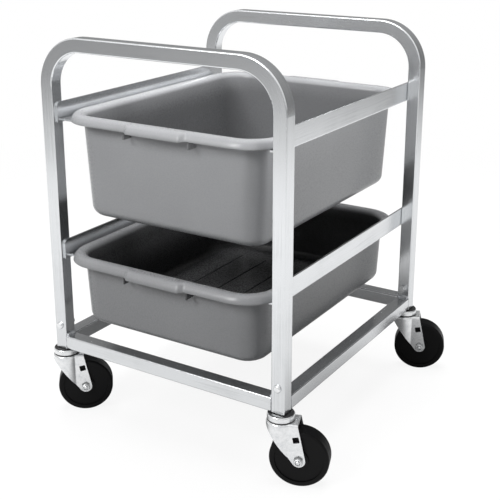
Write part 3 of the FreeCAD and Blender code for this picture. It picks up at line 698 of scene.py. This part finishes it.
axleShape = {
    "sides": 6, "roundSides": 28, "across": 0.0143, "fork": 0.020, "nut": 0.0045, "head": 0.006,
    "chamfer": 0.0009, "chamferTall": 0.00054, "collar": 0.0022, "collarRadius": 0.0064,
    "collarWall": 0.0011, "recess": 0.0030, "ring": 0.0008, "dish": 0.0006,
    "bolt": 0.00475, "tail": 0.0072, "tailRadius": 0.0033, "tailStep": 0.00001, "tip": 0.0008,
    "smoothAngle": 30, "nutShade": 0.5, "headShade": 0.0,
    "headings": {"front_left": 40, "front_right": 20, "rear_left": 30, "rear_right": 22},
}
alongY = (math.pi / 2, 0, 0)


def hexagonEnd(name, side, height):
    # a six-sided head or nut on one face of the fork, chamfered on its outer end
    a = axleShape
    startObjectMode()
    tall = height - a["chamferTall"]
    radius = a["across"] / 2 / math.cos(math.pi / a["sides"])
    bpy.ops.mesh.primitive_cylinder_add(vertices=a["sides"], radius=radius, depth=tall,
                                        location=(0, side * (a["fork"] + tall / 2), 0), rotation=alongY)
    piece = beginPiece(name)
    pick(piece, "FACE", lambda f: side * f.normal.y > endOn)
    bpy.ops.mesh.inset(thickness=a["chamfer"], depth=a["chamferTall"])
    return piece


def paintShadeInRecesses(piece, flatShare):
    # painted shade at the foot and in the recess of a nut or head, and a share of it on the flat end
    a = axleShape
    paintedShade = piece.data.attributes.new("paintedShade", "FLOAT", "POINT")
    for vertex, amount in zip(piece.data.vertices, paintedShade.data):
        radius = math.hypot(vertex.co.x, vertex.co.z)
        out = abs(vertex.co.y) - a["fork"]
        if radius > a["collarRadius"] + a["ring"] / 4:
            amount.value = 1.0 if out < a["ring"] else flatShare
        elif a["bolt"] + a["ring"] / 4 < radius < a["collarRadius"] - a["collarWall"]:
            amount.value = 1.0


def modelAxles():
    a = axleShape
    nut = hexagonEnd("axleNut", -1, a["nut"])
    endPiece(a["smoothAngle"])
    # the locking collar: a round ring with a recess that the bolt's end stands in
    startObjectMode()
    collarY = -a["fork"] - a["nut"] - a["collar"] / 2 + a["ring"] / 2
    bpy.ops.mesh.primitive_cylinder_add(vertices=a["roundSides"], radius=a["collarRadius"],
                                        depth=a["collar"], location=(0, collarY, 0), rotation=alongY)
    collar = beginPiece("axleCollar")
    pick(collar, "FACE", lambda f: f.normal.y < -endOn)
    bpy.ops.mesh.inset(thickness=a["ring"] / 2, depth=a["ring"] / 2)
    bpy.ops.mesh.inset(thickness=a["collarWall"], depth=0)
    bpy.ops.mesh.inset(thickness=a["ring"] / 2, depth=-a["recess"])
    endPiece(a["smoothAngle"])
    nut = joinPieces([nut, collar], "axleNut")
    paintShadeInRecesses(nut, a["nutShade"])
    # the bolt: a dished head, a shank and a thinner tail with a domed tip
    bolt = hexagonEnd("axleBolt", 1, a["head"])
    bpy.ops.mesh.inset(thickness=a["ring"], depth=0)
    bpy.ops.mesh.inset(thickness=a["ring"], depth=-a["dish"])
    endPiece(a["smoothAngle"])
    startObjectMode()
    reach = a["fork"] + a["ring"]
    bpy.ops.mesh.primitive_cylinder_add(vertices=a["roundSides"], radius=a["bolt"], depth=reach + a["fork"],
                                        location=(0, (a["fork"] - reach) / 2, 0), rotation=alongY)
    shank = beginPiece("axleShank")
    pick(shank, "FACE", lambda f: f.normal.y < -endOn)
    bpy.ops.mesh.inset(thickness=a["bolt"] - a["tailRadius"], depth=0)
    bpy.ops.mesh.inset(thickness=a["tailStep"], depth=a["tail"] - a["ring"] - a["tip"])
    bpy.ops.mesh.inset(thickness=a["tip"], depth=a["tip"])
    bpy.ops.mesh.inset(thickness=a["tailRadius"] / 2, depth=a["tip"] / 3)
    endPiece(a["smoothAngle"])
    bolt = joinPieces([bolt, shank], "axleBolt")
    paintShadeInRecesses(bolt, a["headShade"])
    for corner in corners:
        low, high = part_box(f"{corner}_wheel")
        centre = tuple((p + q) / 2 for p, q in zip(low, high))
        for model, part in ((nut, "Nut"), (bolt, "Bolt")):
            side, end = corner.split("_")
            piece = copyPiece(model, f"{side}{end.title()}Axle{part}", centre, a["headings"][corner])
            node = f"{corner}_axle_{part.lower()}"
            finishPiece(piece, axleMaterial, f"{corner}_caster", "zinc_plate", node)
    discard(nut)
    discard(bolt)
    print("axle bolts and nuts modelled")


modelAxles()

# Floor: the eye sees it white with the object's shadow on it, and mirrors see it end in a grey studio, with
# a painted shadow round the frame

floorSetup = {
    "colour": "f0f0f0", "rough": 0.9, "bounce": "7c7c7c", "size": 80.0,
    "shadowNear": 0.90, "nearEdge": 0.9, "farEdge": 2.2,
    "mirrorNear": 1.8, "mirrorFar": 4.0, "mirrorLight": 1.08, "mirrorDark": 0.20,
    "shadeMiddle": (0.0, 0.08, 0.0), "shadeNear": 0.28, "shadeFar": 0.50, "shadeLevel": 0.15,
    "backFrom": 0.0, "backTo": 1.2, "backLevel": 0.95,
}
pureWhite = (1.0, 1.0, 1.0, 1.0)

f = floorSetup
bpy.ops.object.select_all(action="DESELECT")
bpy.ops.mesh.primitive_plane_add(size=f["size"], location=(0, 0, 0))
floor = bpy.context.active_object
floor.name = "floor"
floorMaterial, tree, shader = newMaterial("paleFloor")
feed(tree, shader, {"Base Color": linearColour(f["colour"]), "Roughness": f["rough"]})
place = addNode(tree, "ShaderNodeTexCoord").outputs["Object"]
reach = addNode(tree, "ShaderNodeVectorMath", {0: place}, operation="LENGTH").outputs["Value"]
path = addNode(tree, "ShaderNodeLightPath").outputs
seen = addNode(tree, "ShaderNodeMath", {0: path["Is Camera Ray"], 1: path["Is Glossy Ray"]},
               operation="MAXIMUM").outputs[0]
seen = addNode(tree, "ShaderNodeMath", {0: seen, 1: path["Is Transmission Ray"]},
               operation="MAXIMUM").outputs[0]
mirrored = addNode(tree, "ShaderNodeMapRange", {
    "Value": reach, "From Min": f["mirrorNear"], "From Max": f["mirrorFar"],
    "To Min": f["mirrorLight"], "To Max": f["mirrorDark"]}).outputs[0]
# painted shadow: the floor that mirrors see is darker round the frame, where its shadow lies
apart = addNode(tree, "ShaderNodeVectorMath", {0: place, 1: f["shadeMiddle"]},
                operation="DISTANCE").outputs["Value"]
shade = addNode(tree, "ShaderNodeMapRange", {
    "Value": apart, "From Min": f["shadeNear"], "From Max": f["shadeFar"],
    "To Min": f["shadeLevel"], "To Max": 1.0}, interpolation_type="SMOOTHSTEP").outputs[0]
behind = addNode(tree, "ShaderNodeSeparateXYZ", {"Vector": place}).outputs["Y"]
back = addNode(tree, "ShaderNodeMapRange", {
    "Value": behind, "From Min": f["backFrom"], "From Max": f["backTo"],
    "To Min": 1.0, "To Max": f["backLevel"]}).outputs[0]
mirrored = addNode(tree, "ShaderNodeMath", {0: mirrored, 1: shade}, operation="MULTIPLY").outputs[0]
mirrored = addNode(tree, "ShaderNodeMath", {0: mirrored, 1: back}, operation="MULTIPLY").outputs[0]
glow = addNode(tree, "ShaderNodeMapRange", {
    "Value": path["Is Camera Ray"], "To Min": mirrored, "To Max": 1.0}).outputs[0]
white = addNode(tree, "ShaderNodeEmission", {"Color": pureWhite, "Strength": glow}).outputs[0]
whiteness = addNode(tree, "ShaderNodeMapRange", {
    "Value": reach, "From Min": f["nearEdge"], "From Max": f["farEdge"],
    "To Min": f["shadowNear"], "To Max": 1.0}).outputs[0]
pale = addNode(tree, "ShaderNodeMixShader", {0: whiteness, 1: shader.outputs[0], 2: white}).outputs[0]
bounce = addNode(tree, "ShaderNodeBsdfDiffuse", {"Color": linearColour(f["bounce"])}).outputs[0]
mixed = addNode(tree, "ShaderNodeMixShader", {0: seen, 1: bounce, 2: pale}).outputs[0]
feed(tree, tree.nodes["Material Output"], {"Surface": mixed})
dress(floor, floorMaterial)

# Studio: its grey walls show only in the metal, and the light on the object comes from the softboxes

studioSetup = {
    "walls": ((0.0, 0.62), (0.25, 0.72), (0.6, 0.85), (1.0, 1.0)),  # height and grey
    "backFrom": -0.1, "backTo": 0.7, "backLevel": 0.25, "ambient": 0.03,
}
softboxes = {
    "topSoftbox": {"place": (-0.1, 0.2, 2.6), "aim": (0.0, 0.0, 0.5), "size": (2.0, 2.0), "spread": 180,
                   "power": 130.0, "mirrored": False},
    "keySoftbox": {"place": (-0.7, -2.3, 2.05), "aim": (0.0, 0.0, 0.5), "size": (1.2, 1.2), "spread": 60,
                   "power": 8.0, "mirrored": True},
    "frontSoftbox": {"place": (0.3, -2.8, 0.28), "aim": (0.0, -0.2, 0.70), "size": (1.6, 0.3), "spread": 30,
                     "power": 0.7, "mirrored": False},
    "rearSoftbox": {"place": (-1.6, 2.4, 0.40), "aim": (0.0, 0.0, 0.45), "size": (1.8, 0.4), "spread": 60,
                    "power": 6.0, "mirrored": False},
    "sideSoftbox": {"place": (2.5, -0.8, 0.85), "aim": (0.2, 0.0, 0.70), "size": (0.6, 0.3), "spread": 26,
                    "power": 1.2, "mirrored": False},
}

world = bpy.data.worlds.new("studio")
bpy.context.scene.world = world
world.use_nodes = True
tree = world.node_tree
direction = addNode(tree, "ShaderNodeTexCoord").outputs["Generated"]
axis = addNode(tree, "ShaderNodeSeparateXYZ", {"Vector": direction}).outputs
back = addNode(tree, "ShaderNodeMapRange", {
    "Value": axis["Y"], "From Min": studioSetup["backFrom"], "From Max": studioSetup["backTo"],
    "To Min": 1.0, "To Max": studioSetup["backLevel"]}).outputs[0]
walls = addNode(tree, "ShaderNodeValToRGB", {"Fac": axis["Z"]})
while len(walls.color_ramp.elements) < len(studioSetup["walls"]):
    walls.color_ramp.elements.new(0.5)
for element, (position, level) in zip(walls.color_ramp.elements, studioSetup["walls"]):
    element.position = position
    element.color = (level, level, level, 1.0)
path = addNode(tree, "ShaderNodeLightPath").outputs
seen = addNode(tree, "ShaderNodeMath", {0: path["Is Glossy Ray"], 1: path["Is Transmission Ray"]},
               operation="MAXIMUM").outputs[0]
studio = addNode(tree, "ShaderNodeBackground", {"Color": walls.outputs[0], "Strength": back}).outputs[0]
plain = tree.nodes["Background"]
ambient = studioSetup["ambient"]
feed(tree, plain, {"Color": (ambient, ambient, ambient, 1.0)})
white = addNode(tree, "ShaderNodeBackground", {"Color": pureWhite}).outputs[0]
mixed = addNode(tree, "ShaderNodeMixShader", {0: seen, 1: plain.outputs[0], 2: studio}).outputs[0]
mixed = addNode(tree, "ShaderNodeMixShader", {0: path["Is Camera Ray"], 1: mixed, 2: white}).outputs[0]
feed(tree, tree.nodes["World Output"], {"Surface": mixed})

for name, box in softboxes.items():
    light = bpy.data.lights.new(name, "AREA")
    light.shape = "RECTANGLE"
    light.size, light.size_y = box["size"]
    light.spread = math.radians(box["spread"])
    light.energy = box["power"]
    lamp = bpy.data.objects.new(name, light)
    bpy.context.scene.collection.objects.link(lamp)
    lamp.location = box["place"]
    lamp.visible_glossy = box["mirrored"]
    lamp.rotation_euler = (Vector(box["aim"]) - lamp.location).to_track_quat("-Z", "Y").to_euler()

# Camera: fitted to the frame's edges in the photo, with the focal length in pixels of the photo's width

cameraSetup = {"place": (0.9555, -1.5035, 0.9362), "yaw": 32.01, "pitch": 17.09, "focal": 979.3,
               "photoWidth": 500, "sensor": 36.0, "shiftY": -0.1}

cameraData = bpy.data.cameras.new("photoCamera")
cameraData.sensor_width = cameraSetup["sensor"]
cameraData.lens = cameraSetup["focal"] / cameraSetup["photoWidth"] * cameraSetup["sensor"]
cameraData.shift_y = cameraSetup["shiftY"]
camera = bpy.data.objects.new("photoCamera", cameraData)
bpy.context.scene.collection.objects.link(camera)
camera.location = cameraSetup["place"]
camera.rotation_euler = (math.radians(90 - cameraSetup["pitch"]), 0, math.radians(cameraSetup["yaw"]))
bpy.context.scene.camera = camera
bpy.context.scene.view_settings.view_transform = "Standard"
print("stage ready")
